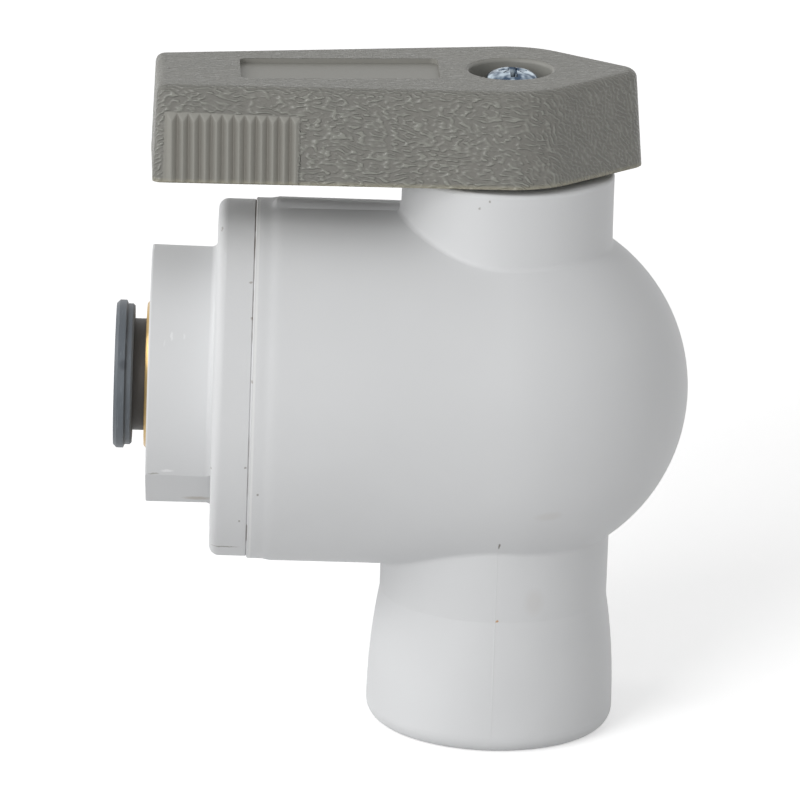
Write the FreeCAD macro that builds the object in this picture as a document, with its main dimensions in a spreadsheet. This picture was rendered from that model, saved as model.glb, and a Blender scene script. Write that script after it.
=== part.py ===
import FreeCAD, Part
import math
import os
from types import SimpleNamespace

import Sketcher

# Elbow ball valve for 3/8 inch tube: a push-in tube socket on a horizontal barrel, a ball in the
# barrel, and a flared outlet spout below with a 3/8 inch pipe thread bore. A lever on top turns the ball.
# The part's origin is the centre of the outlet's bottom face. +Z goes up the outlet and the stem,
# the tube goes in towards +X, and the lever's grip side lies over the inlet at -X.

Vector = FreeCAD.Vector
doc = FreeCAD.newDocument("elbow_ball_valve")

# Driving sizes in millimetres, angles in degrees. Places along the barrel are measured from the
# ball's centre towards the inlet or the dome, and heights from the ball's centre up or down.
SIZES = {
    # the moulded body
    "outlet_drop": 36.0,
    "barrel_radius": 18.75,
    "dome_ease": 0.05,
    "dome_shift": 0.6,
    "wall": 3.1,
    "seam_reach": 25.7,
    "boss_radius": 10.86,
    "boss_draft": 0.19,
    "boss_land": 0.65,
    "root_round": 0.6,
    "edge_round": 0.4,
    "spout_radius": 11.77,
    "spout_flare_height": 14.0,
    "spout_flare": 66.6,
    "spout_spread": 1.01,
    "spout_straight": 2.5,
    "spout_round": 1.9,
    "passage_radius": 4.8,
    "thread_radius": 7.5,
    "thread_depth": 14.0,
    "thread_lead": 0.4,
    "band_width": 1.6,
    "band_step": 0.15,
    "band_slope": 0.8,
    "seam_bevel": 0.12,
    "crest_round": 3.3,
    "crest_half_width": 2.2,
    "crest_inlet_rise": 0.45,
    "crest_boss_rise": 0.2,
    "crest_slope": 0.5,
    "cut_margin": 1.0,
    "embed": 0.1,
    # the welded inlet cap
    "cap_lip": 0.35,
    "cap_thickness": 3.84,
    "cap_round": 1.0,
    "weld_gap": 0.1,
    "port_radius": 13.38,
    "port_flare": 0.07,
    "port_length": 6.7,
    "port_flat_depth": 1.38,
    "port_flat_angle": 60.0,
    "spigot_length": 8.0,
    "nose_wall": 2.3,
    "nose_relief": 0.4,
    # the ball and its two seats
    "ball_radius": 12.7,
    "ball_bore": 4.4,
    "ball_edge_round": 0.4,
    "seat_gap": 0.1,
    "seat_radius": 10.0,
    "seat_clearance": 0.1,
    "seat_bite": 3.7,
    "seat_thickness": 4.2,
    "seat_ring_radius": 7.6,
    "seat_ring_section": 1.6,
    "seal_gap": 0.02,
    "dome_relief": 3.0,
    "relief_step": 0.8,
    # the stem
    "stem_radius": 5.0,
    "stem_clearance": 0.05,
    "flange_step": 1.3,
    "flange_sink": 0.65,
    "flange_thickness": 1.6,
    "washer_thickness": 0.6,
    "washer_gap": 0.05,
    "stem_seal_section": 1.6,
    "seal_land": 0.7,
    "seal_spacing": 2.6,
    "groove_slack": 0.3,
    "tang_thickness": 3.2,
    "tang_width": 9.0,
    "tang_depth": 3.1,
    "tang_gap": 0.1,
    "square_width": 6.2,
    "square_gap": 0.05,
    "square_rise": 0.3,
    # the stop in the top of the stem housing
    "stop_inner": 7.2,
    "stop_outer": 9.2,
    "stop_depth": 1.7,
    "stop_gap": 0.2,
    "stop_lug_angle": 10.0,
    "stop_slack_angle": 1.5,
    "quarter_turn": 90.0,
    # the lever
    "handle_turn": 1.6,
    "handle_lean": 1.3,
    "handle_gap": 0.54,
    "handle_height": 10.0,
    "handle_reach": 36.55,
    "handle_half_width": 10.5,
    "handle_taper": 4.6,
    "handle_draft": 2.7,
    "nose_reach": 14.8,
    "nose_angle": 42.0,
    "shoulder_round": 8.5,
    "nose_round": 2.5,
    "end_round": 1.0,
    "top_round": 0.9,
    "handle_wall": 2.0,
    "handle_plate": 2.3,
    "hub_radius": 6.0,
    "hub_lift": 0.2,
    "rib_thickness": 1.4,
    "rib_offset": 2.6,
    "rib_lift": 0.8,
    "rib_into_hub": 1.5,
    "web_into_hub": 0.5,
    "well_radius": 4.25,
    "well_depth": 1.7,
    "well_floor": 1.5,
    "well_round": 0.4,
    "panel_start": 7.3,
    "panel_margin": 9.0,
    "panel_half_width": 4.1,
    "panel_depth": 0.5,
    "panel_round": 0.8,
    "grip_height": 7.2,
    "grip_hip": 0.77,
    "grip_depth": 0.32,
    "grip_pitch": 1.144,
    "grip_land": 0.12,
    "grip_valley": 0.06,
    "grip_lift": 0.1,
    "grip_margin": 1.34,
    "grip_count": 12,
    # the handle screw
    "screw_radius": 1.5,
    "screw_length": 9.0,
    "screw_gap": 0.05,
    "screw_chamfer": 0.3,
    "head_radius": 2.75,
    "head_height": 1.65,
    "head_crown": 4.6,
    "head_edge": 0.25,
    "cross_half_length": 1.55,
    "cross_half_width": 0.4,
    "cross_depth": 1.2,
    # the push-in tube socket
    "tube_bore": 4.85,
    "flow_bore": 3.9,
    "tube_stop_depth": 3.2,
    "socket_depth": 2.8,
    "ring_proud": 0.35,
    "cartridge_length": 5.6,
    "cartridge_wall": 0.7,
    "cartridge_neck": 2.4,
    "cartridge_chamfer": 0.3,
    "neck_slope": 0.5,
    "collar_reach": 2.78,
    "collar_thickness": 1.2,
    "collar_chamfer": 0.35,
    "collar_step": 0.36,
    "collar_step_slope": 0.15,
    "collar_back_thickness": 0.7,
    "collar_back_chamfer": 0.2,
    "button_travel": 1.25,
    "sleeve_wall": 0.91,
    "sleeve_clearance": 0.19,
    "bead_height": 0.59,
    "bead_slope": 0.3,
    "bead_gap": 0.3,
    "bead_length": 1.0,
    "bore_lead": 0.5,
    "grip_ring_thickness": 0.4,
    "tooth_gap": 0.1,
    "tooth_rim": 0.6,
    "tooth_rise": 0.75,
    "tooth_slot": 0.7,
    "tooth_count": 10,
    "backup_length": 1.9,
    "backup_rim": 0.5,
    "backup_lip": 0.6,
    "insert_gap": 0.05,
    "tube_seal_section": 2.2,
}

sheet = doc.addObject("Spreadsheet::Sheet", "Sizes")
for line, alias in enumerate(SIZES, start=1):
    sheet.set("A%d" % line, alias)
    sheet.set("B%d" % line, str(SIZES[alias]))
    sheet.setAlias("B%d" % line, alias)
doc.recompute()


class Size:
    """A length or angle: what it measures now, and the rule over the sheet that gives it."""

    def __init__(self, value, rule):
        self.value = float(value)
        self.rule = rule

    def __add__(self, other):
        other = sized(other)
        return Size(self.value + other.value, "(%s + %s)" % (self.rule, other.rule))

    def __sub__(self, other):
        other = sized(other)
        return Size(self.value - other.value, "(%s - %s)" % (self.rule, other.rule))

    def __mul__(self, other):
        other = sized(other)
        return Size(self.value * other.value, "(%s * %s)" % (self.rule, other.rule))

    def __truediv__(self, other):
        other = sized(other)
        return Size(self.value / other.value, "(%s / %s)" % (self.rule, other.rule))

    def __neg__(self):
        return Size(-self.value, "(0 - %s)" % self.rule)


def sized(thing):
    return thing if isinstance(thing, Size) else Size(thing, repr(float(thing)))


def root(size):
    return Size(math.sqrt(size.value), "sqrt(%s)" % size.rule)


def sine(angle):
    return Size(math.sin(math.radians(angle.value)), "sin(%s)" % angle.rule)


def cosine(angle):
    return Size(math.cos(math.radians(angle.value)), "cos(%s)" % angle.rule)


def tangent(angle):
    return Size(math.tan(math.radians(angle.value)), "tan(%s)" % angle.rule)


def side_of(long_side, short_side):
    """The third side of a right triangle."""
    return root(long_side * long_side - short_side * short_side)


d = SimpleNamespace(**{alias: Size(SIZES[alias], "Sizes." + alias) for alias in SIZES})
subparts = []


def bind(thing, **rules):
    """Set properties of an object to sizes, by expression. A double underscore stands for a dot."""
    for name, size in rules.items():
        thing.setExpression(name.replace("__", "."), sized(size).rule)


def new_piece(kind, label, along=0, height=0, turn=None, turn_axis=Vector(0, 0, 1), lean=None):
    """A sub-part, placed from the ball's centre: along the barrel, up the stem, and turned.
    A lean lets its inlet end droop."""
    piece = doc.addObject(kind, label)
    piece.Label = label
    angle = sized(turn if turn is not None else 0)
    rotation = FreeCAD.Rotation(turn_axis, angle.value)
    if lean is not None:
        rotation = rotation * FreeCAD.Rotation(Vector(0, 1, 0), -lean.value)
    piece.Placement = FreeCAD.Placement(Vector(0, 0, 0), rotation)
    bind(piece, Placement__Base__x=along, Placement__Base__z=d.outlet_drop + height)
    if turn is not None and lean is None:
        bind(piece, Placement__Rotation__Angle=angle)
    subparts.append(piece)
    return piece


def origin_plane(body, role):
    for feature in body.Origin.OriginFeatures:
        if feature.Role == role:
            return feature


def pin_point(sketch, geometry, end, point):
    """Hold one end of a line or arc at a point, given as two sizes, or 0 for on the axis."""
    for number, kind in enumerate(("DistanceX", "DistanceY")):
        place = point[number]
        if isinstance(place, Size):
            index = sketch.addConstraint(Sketcher.Constraint(kind, -1, 1, geometry, end, place.value))
            sketch.setExpression("Constraints[%d]" % index, place.rule)
        else:
            axis = (-2, -1)[number]
            sketch.addConstraint(Sketcher.Constraint("PointOnObject", geometry, end, axis))


def arc_between(start, end, radius, side):
    """The arc from start to end. Side 1 turns left on the way, side -1 turns right."""
    chord = end - start
    reach = math.sqrt(radius * radius - chord.Length * chord.Length / 4)
    across = Vector(-chord.y, chord.x, 0).normalize()
    centre = (start + end) / 2 + across * reach * side
    first, last = (start, end) if side > 0 else (end, start)
    angles = [math.atan2(p.y - centre.y, p.x - centre.x) for p in (first, last)]
    circle = Part.Circle(centre, Vector(0, 0, 1), radius)
    return Part.ArcOfCircle(circle, angles[0], angles[1])


def new_sketch(body, name, plane, lift=None):
    """An empty sketch on one of the body's origin planes, or lifted off it by a size."""
    sketch = body.newObject("Sketcher::SketchObject", name)
    sketch.AttachmentSupport = [(origin_plane(body, plane), "")]
    sketch.MapMode = "FlatFace"
    if lift is not None:
        bind(sketch, AttachmentOffset__Base__z=lift)
    return sketch


def draw_loop(sketch, corners):
    """Draw a closed line through the corners. A corner is (x, y), or (x, y, radius, side) where
    an arc leads on to the next corner."""
    first = sketch.GeometryCount
    points = [Vector(sized(c[0]).value, sized(c[1]).value, 0) for c in corners]
    ends = []
    for number, corner in enumerate(corners):
        start = points[number]
        end = points[(number + 1) % len(points)]
        if len(corner) == 4:
            sketch.addGeometry(arc_between(start, end, corner[2].value, corner[3]))
            ends.append((1, 2) if corner[3] > 0 else (2, 1))
        else:
            sketch.addGeometry(Part.LineSegment(start, end))
            ends.append((1, 2))
    for number, corner in enumerate(corners):
        here = first + number
        after = (number + 1) % len(corners)
        joint = Sketcher.Constraint("Coincident", here, ends[number][1], first + after, ends[after][0])
        sketch.addConstraint(joint)
        pin_point(sketch, here, ends[number][0], corner)
        if len(corner) == 4:
            index = sketch.addConstraint(Sketcher.Constraint("Radius", here, corner[2].value))
            sketch.setExpression("Constraints[%d]" % index, corner[2].rule)


def draw_circle(sketch, radius):
    index = sketch.addGeometry(Part.Circle(Vector(0, 0, 0), Vector(0, 0, 1), radius.value))
    sketch.addConstraint(Sketcher.Constraint("Coincident", index, 3, -1, 1))
    rule = sketch.addConstraint(Sketcher.Constraint("Radius", index, radius.value))
    sketch.setExpression("Constraints[%d]" % rule, radius.rule)


def turned(body, name, axis, corners, cut=False):
    """Revolve a half profile about the barrel's axis, drawn beside it, or about the stem's axis."""
    sketch = new_sketch(body, name + "_profile", "XY_Plane" if axis == "barrel" else "YZ_Plane")
    draw_loop(sketch, corners)
    feature = body.newObject("PartDesign::Groove" if cut else "PartDesign::Revolution", name)
    feature.Profile = sketch
    feature.ReferenceAxis = (sketch, ["H_Axis" if axis == "barrel" else "V_Axis"])
    feature.Angle = 360
    return feature


def extruded(body, name, sketch, length, cut=False, reversed_way=False, midplane=False):
    feature = body.newObject("PartDesign::Pocket" if cut else "PartDesign::Pad", name)
    feature.Profile = sketch
    feature.Reversed = reversed_way
    feature.SideType = "Symmetric" if midplane else "One side"
    bind(feature, Length=length)
    return feature


def box_corners(x_low, x_high, y_low, y_high):
    return [(x_low, y_low), (x_high, y_low), (x_high, y_high), (x_low, y_high)]


def rounded_box(x_low, x_high, y_low, y_high, radius):
    return [
        (x_low, y_low + radius, radius, 1), (x_low + radius, y_low),
        (x_high - radius, y_low, radius, 1), (x_high, y_low + radius),
        (x_high, y_high - radius, radius, 1), (x_high - radius, y_high),
        (x_low + radius, y_high, radius, 1), (x_low, y_high - radius),
    ]


def edges_where(feature, test):
    """Names of a feature's edges whose middle point and ends all pass the test."""
    names = []
    for number, edge in enumerate(feature.Shape.Edges, start=1):
        low, high = edge.ParameterRange
        samples = [edge.valueAt(low + (high - low) * share) for share in (0.05, 0.35, 0.65, 0.95)]
        if all(test(point) for point in samples):
            names.append("Edge%d" % number)
    return names


def rounded(body, name, radius, test):
    """Fillet the edges of the body's last feature that pass the test."""
    doc.recompute()
    base = body.Tip
    names = edges_where(base, test)
    feature = body.newObject("PartDesign::Fillet", name)
    feature.Base = (base, names)
    bind(feature, Radius=radius)
    return feature


def near(value, size, slack=0.02):
    return abs(value - sized(size).value) < slack


def off_axis(point):
    """Distance from the stem's axis."""
    return math.hypot(point.x, point.y)


def off_barrel(point):
    """Distance from the barrel's axis."""
    return math.hypot(point.y, point.z)


# Places that several pieces share, from the sheet.
cavity_radius = d.barrel_radius - d.wall
dome_radius = d.barrel_radius - d.dome_ease
dome_hollow = dome_radius - d.wall
band_radius = d.barrel_radius - d.band_step
cap_radius = d.barrel_radius - d.cap_lip
spigot_radius = cavity_radius - d.weld_gap
cap_face = d.seam_reach + d.cap_thickness
port_face = cap_face + d.port_length
port_mouth_radius = d.port_radius + d.port_flare
spout_mouth_radius = d.spout_radius + d.spout_spread
spout_kink = d.outlet_drop - d.spout_flare_height

# The seats and their rings, from the ball outwards.
seat_front = d.ball_radius - d.seat_bite
seat_back = seat_front + d.seat_thickness
seat_pocket = d.seat_radius + d.seat_clearance
ring_outer = d.seat_ring_radius + d.seat_ring_section / 2 + d.seal_gap * 2
ring_inner = d.seat_ring_radius - d.seat_ring_section / 2 - d.seal_gap * 2
ring_depth = d.seat_ring_section + d.seal_gap

# The stack on the stem, from its flange inside the barrel up to the lever.
flange_bottom = cavity_radius - d.flange_sink
flange_radius = d.stem_radius + d.flange_step
flange_top = flange_bottom + d.flange_thickness
washer_bottom = flange_top + d.washer_gap
stem_shoulder = washer_bottom + d.washer_thickness
stem_hole = d.stem_radius + d.stem_clearance
flange_hole = flange_radius + d.stem_clearance * 4
stem_groove_half = (d.stem_seal_section + d.groove_slack) / 2
lower_seal_height = stem_shoulder + d.seal_land + stem_groove_half
upper_seal_height = lower_seal_height + d.seal_spacing
boss_top = upper_seal_height + stem_groove_half + d.boss_land
stop_floor = boss_top - d.stop_depth
handle_bottom = boss_top + d.handle_gap
well_seat = handle_bottom + d.handle_height - d.well_depth
stem_top = well_seat - d.well_floor
tang_bottom = d.ball_radius - d.tang_depth

# The stack in the tube socket, from the port's mouth inwards.
socket_radius = d.tube_bore + d.socket_depth
cartridge_out = port_face + d.ring_proud
cartridge_in = cartridge_out - d.cartridge_length
grip_ring_in = cartridge_in - d.grip_ring_thickness
backup_end = grip_ring_in - d.backup_length
collar_back = cartridge_out + d.button_travel
sleeve_radius = d.tube_bore + d.sleeve_wall
cartridge_bore = sleeve_radius + d.sleeve_clearance
cartridge_flare = socket_radius - d.cartridge_wall
insert_radius = socket_radius - d.insert_gap
tooth_bore = d.tube_bore + d.tooth_gap
tube_seal_outer = d.tube_bore + d.seal_gap * 4 + d.tube_seal_section
cap_groove_start = d.seam_reach - (d.spigot_length - d.seat_ring_section - d.groove_slack) / 2
cap_groove_end = cap_groove_start - d.seat_ring_section - d.groove_slack
cap_groove_floor = cavity_radius - d.seal_gap * 2 - d.seat_ring_section


def make_valve_body():
    """Barrel, dome, stem housing and spout in one white moulding."""
    body = new_piece("PartDesign::Body", "valve_body")
    band_end = d.seam_reach - d.band_width
    turned(body, "barrel", "barrel", [
        (-d.seam_reach, 0),
        (-d.seam_reach, band_radius - d.seam_bevel),
        (-(d.seam_reach - d.seam_bevel), band_radius),
        (-band_end, band_radius),
        (-(band_end - d.band_slope), d.barrel_radius),
        (d.dome_shift, dome_radius, dome_radius, -1),
        (d.dome_shift + dome_radius, 0),
    ])
    turned(body, "stem_housing", "stem", [
        (0, 0),
        (d.boss_radius + d.boss_draft, 0),
        (d.boss_radius, boss_top),
        (0, boss_top),
    ])
    flare_end = d.outlet_drop - d.spout_straight
    turned(body, "spout", "stem", [
        (0, 0),
        (0, -d.outlet_drop),
        (spout_mouth_radius, -d.outlet_drop),
        (spout_mouth_radius, -flare_end, d.spout_flare, 1),
        (d.spout_radius, -spout_kink),
        (d.spout_radius, 0),
    ])
    rounded(body, "spout_lip", d.spout_round,
            lambda p: near(p.z, -d.outlet_drop) and near(off_axis(p), spout_mouth_radius))
    rounded(body, "housing_rim", d.edge_round,
            lambda p: near(p.z, boss_top) and near(off_axis(p), d.boss_radius))
    rounded(body, "spout_root", d.root_round,
            lambda p: near(off_axis(p), d.spout_radius) and -spout_kink.value < p.z < 0)
    rounded(body, "housing_root", d.root_round,
            lambda p: near(off_axis(p), d.boss_radius, d.boss_draft.value)
            and 0 < p.z < (d.barrel_radius + d.embed).value)

    # The low rounded rib along the barrel's top, from the band by the seam to the stem housing.
    half = d.crest_half_width
    crest_foot = cavity_radius + d.cut_margin
    crest_drop = d.crest_round - side_of(d.crest_round, half)
    sections = []
    for number, (along, top) in enumerate((
            (band_end, band_radius - d.embed),
            (band_end - d.crest_slope, d.barrel_radius + d.crest_inlet_rise),
            (d.boss_radius - d.cut_margin, d.barrel_radius + d.crest_boss_rise))):
        section = new_sketch(body, "crest_section_%d" % number, "YZ_Plane", -along)
        shoulder = top - crest_drop
        draw_loop(section, [
            (-half, crest_foot), (half, crest_foot), (half, shoulder, d.crest_round, 1), (-half, shoulder)])
        sections.append(section)
    crest = body.newObject("PartDesign::AdditiveLoft", "crest")
    crest.Profile = sections[0]
    crest.Sections = sections[1:]
    crest.Ruled = True

    collar_radius = side_of(dome_hollow, seat_front - d.dome_shift)
    relief_radius = ring_inner - d.relief_step
    turned(body, "ball_chamber", "barrel", [
        (-(d.seam_reach + d.cut_margin), 0),
        (-(d.seam_reach + d.cut_margin), cavity_radius),
        (d.dome_shift, dome_hollow, dome_hollow, -1),
        (seat_front, collar_radius),
        (seat_front, seat_pocket),
        (seat_back, seat_pocket),
        (seat_back, ring_outer),
        (seat_back + ring_depth, ring_outer),
        (seat_back + ring_depth, ring_inner),
        (seat_back, ring_inner),
        (seat_back, relief_radius),
        (seat_back + d.dome_relief, relief_radius),
        (seat_back + d.dome_relief, 0),
    ], cut=True)
    turned(body, "stem_bore", "stem", [
        (0, d.ball_radius),
        (flange_hole, d.ball_radius),
        (flange_hole, stem_shoulder),
        (stem_hole, stem_shoulder),
        (stem_hole, boss_top + d.cut_margin),
        (0, boss_top + d.cut_margin),
    ], cut=True)
    thread_end = d.outlet_drop - d.thread_depth
    turned(body, "outlet_bore", "stem", [
        (0, -d.ball_radius),
        (d.passage_radius, -d.ball_radius),
        (d.passage_radius, -(thread_end - d.thread_radius + d.passage_radius)),
        (d.thread_radius, -thread_end),
        (d.thread_radius, -(d.outlet_drop - d.thread_lead)),
        (d.thread_radius + d.thread_lead, -d.outlet_drop),
        (d.thread_radius + d.thread_lead, -(d.outlet_drop + d.cut_margin)),
        (0, -(d.outlet_drop + d.cut_margin)),
    ], cut=True)

    # The quarter-turn stop: an arc-shaped groove in the top of the housing for the lever's lug.
    low = -(d.stop_lug_angle + d.stop_slack_angle)
    high = d.quarter_turn + d.stop_lug_angle + d.stop_slack_angle
    stop = new_sketch(body, "stop_outline", "XY_Plane", boss_top)
    draw_loop(stop, sector(d.stop_inner, d.stop_outer, low, high))
    extruded(body, "stop_groove", stop, d.stop_depth, cut=True)


def sector(inner, outer, low, high):
    """Corners of a ring sector between two angles."""
    return [
        (inner * cosine(low), inner * sine(low)),
        (outer * cosine(low), outer * sine(low), outer, 1),
        (outer * cosine(high), outer * sine(high)),
        (inner * cosine(high), inner * sine(high), inner, -1),
    ]


def make_inlet_cap():
    """End cap with the inlet port, its spigot and the pocket for the inlet seat."""
    body = new_piece("PartDesign::Body", "inlet_cap")
    nose_end = seat_front + d.nose_relief
    nose_radius = seat_pocket + d.nose_wall
    spigot_end = d.seam_reach - d.spigot_length
    tube_stop = d.seam_reach - d.tube_stop_depth
    guide_bore = d.tube_bore + d.seal_gap
    seal_seat = backup_end - d.seal_gap
    seal_end = seal_seat - d.tube_seal_section - d.seal_gap
    turned(body, "cap", "barrel", [
        (-port_face, socket_radius),
        (-port_face, port_mouth_radius),
        (-cap_face, d.port_radius),
        (-cap_face, cap_radius),
        (-(d.seam_reach + d.seam_bevel), cap_radius),
        (-d.seam_reach, cap_radius - d.seam_bevel),
        (-d.seam_reach, spigot_radius),
        (-cap_groove_start, spigot_radius),
        (-cap_groove_start, cap_groove_floor),
        (-cap_groove_end, cap_groove_floor),
        (-cap_groove_end, spigot_radius),
        (-spigot_end, spigot_radius),
        (-spigot_end, nose_radius),
        (-nose_end, nose_radius),
        (-nose_end, seat_pocket),
        (-seat_back, seat_pocket),
        (-seat_back, ring_outer),
        (-(seat_back + ring_depth), ring_outer),
        (-(seat_back + ring_depth), ring_inner),
        (-seat_back, ring_inner),
        (-seat_back, d.flow_bore),
        (-tube_stop, d.flow_bore),
        (-tube_stop, guide_bore),
        (-seal_end, guide_bore),
        (-seal_end, tube_seal_outer),
        (-backup_end, tube_seal_outer),
        (-backup_end, socket_radius),
    ])
    rounded(body, "cap_rim", d.cap_round,
            lambda p: near(p.x, -cap_face) and near(off_barrel(p), cap_radius))
    rounded(body, "port_root", d.root_round,
            lambda p: near(p.x, -cap_face) and near(off_barrel(p), d.port_radius))
    rounded(body, "port_rim", d.edge_round / 2,
            lambda p: near(p.x, -port_face) and near(off_barrel(p), port_mouth_radius))
    for name, side in (("front_flat", -1), ("back_flat", 1)):
        across = sine(d.quarter_turn - d.port_flat_angle)
        down = cosine(d.quarter_turn - d.port_flat_angle)
        near_side = d.port_radius - d.port_flat_depth
        far = port_mouth_radius + d.cut_margin
        corners = []
        for out, along in ((near_side, -far), (far, -far), (far, far), (near_side, far)):
            corners.append(((across * out + down * along) * side, across * along - down * out))
        flat = new_sketch(body, name + "_outline", "YZ_Plane", -port_face)
        draw_loop(flat, corners)
        extruded(body, name, flat, d.port_length, cut=True, reversed_way=True)


def make_ball():
    """Ball with an L-shaped bore, one leg down and one towards the lever's grip."""
    body = new_piece("PartDesign::Body", "ball", turn=d.handle_turn)
    turned(body, "sphere", "stem", [
        (0, -d.ball_radius, d.ball_radius, 1),
        (d.ball_radius, 0, d.ball_radius, 1),
        (0, d.ball_radius),
    ])
    past = d.ball_radius + d.cut_margin
    turned(body, "side_leg", "barrel", [
        (-past, 0),
        (-past, d.ball_bore),
        (sized(0) * d.ball_bore, d.ball_bore, d.ball_bore, -1),
        (d.ball_bore, 0),
    ], cut=True)
    turned(body, "lower_leg", "stem", [
        (0, sized(0) * d.ball_bore),
        (0, -past),
        (d.ball_bore, -past),
        (d.ball_bore, sized(0) * d.ball_bore),
    ], cut=True)
    rounded(body, "leg_edges", d.ball_edge_round,
            lambda p: near(p.Length, d.ball_radius) and (near(off_axis(p), d.ball_bore)
                                                         or near(off_barrel(p), d.ball_bore)))
    slot = new_sketch(body, "slot_outline", "XY_Plane", d.ball_radius)
    half = d.tang_thickness / 2 + d.tang_gap
    draw_loop(slot, box_corners(-half, half, -d.ball_radius, d.ball_radius))
    extruded(body, "tang_slot", slot, d.ball_radius - tang_bottom + d.tang_gap * 2, cut=True)


def make_seat(label, turn=None):
    """Seat ring with a face ground to the ball."""
    body = new_piece("PartDesign::Body", label, turn=turn)
    face_radius = d.ball_radius + d.seat_gap
    turned(body, "ring", "barrel", [
        (-seat_back, d.ball_bore),
        (-seat_back, d.seat_radius),
        (-seat_front, d.seat_radius),
        (-seat_front, side_of(face_radius, seat_front), face_radius, 1),
        (-side_of(face_radius, d.ball_bore), d.ball_bore),
    ])


def make_seal(label, radius, section, along=0, height=0, upright=False):
    """A rubber O-ring about the barrel's axis, or upright about the stem's."""
    turn = None if upright else d.quarter_turn
    seal = new_piece("Part::Torus", label, along, height, turn, Vector(0, 1, 0))
    bind(seal, Radius1=radius, Radius2=section / 2)


def make_stem():
    """Stem with its flange, two seal grooves, the tang below and the square above."""
    body = new_piece("PartDesign::Body", "stem", turn=d.handle_turn)
    floor = stem_hole - d.seal_gap - d.stem_seal_section - d.seal_gap
    half = stem_groove_half
    square_start = boss_top + d.square_rise
    turned(body, "shaft", "stem", [
        (0, flange_bottom),
        (flange_radius, flange_bottom),
        (flange_radius, flange_top),
        (d.stem_radius, flange_top),
        (d.stem_radius, lower_seal_height - half),
        (floor, lower_seal_height - half),
        (floor, lower_seal_height + half),
        (d.stem_radius, lower_seal_height + half),
        (d.stem_radius, upper_seal_height - half),
        (floor, upper_seal_height - half),
        (floor, upper_seal_height + half),
        (d.stem_radius, upper_seal_height + half),
        (d.stem_radius, square_start),
        (0, square_start),
    ])
    tang = new_sketch(body, "tang_outline", "XY_Plane", flange_bottom)
    draw_loop(tang, box_corners(-d.tang_thickness / 2, d.tang_thickness / 2,
                                -d.tang_width / 2, d.tang_width / 2))
    extruded(body, "tang", tang, flange_bottom - tang_bottom, reversed_way=True)
    square = new_sketch(body, "square_outline", "XY_Plane", square_start)
    half = d.square_width / 2
    draw_loop(square, box_corners(-half, half, -half, half))
    extruded(body, "square_drive", square, stem_top - square_start)
    rounded(body, "square_corners", d.edge_round,
            lambda p: near(abs(p.x), half) and near(abs(p.y), half))
    hole = new_sketch(body, "screw_hole_outline", "XY_Plane", stem_top)
    draw_circle(hole, d.screw_radius + d.screw_gap)
    extruded(body, "screw_hole", hole, d.screw_length, cut=True)


def make_thrust_washer():
    body = new_piece("PartDesign::Body", "thrust_washer", height=washer_bottom)
    turned(body, "washer", "stem", [
        (stem_hole, 0),
        (flange_radius, 0),
        (flange_radius, d.washer_thickness),
        (stem_hole, d.washer_thickness),
    ])


def lever_outline(inset, half_width, reach, tip):
    """Plan of the lever, tapered towards its grip end and pointed at the other, drawn in by inset."""
    slope = tangent(d.handle_taper)
    steep = tangent(d.nose_angle)
    half = half_width - inset / cosine(d.handle_taper)
    end = reach - inset
    point = tip - inset / sine(d.nose_angle)
    shoulder = (point * steep - half) / (slope + steep)
    side = half + shoulder * slope
    grip = half - end * slope
    return [(-end, -grip), (shoulder, -side), (point, 0), (shoulder, side), (-end, grip)]


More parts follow.
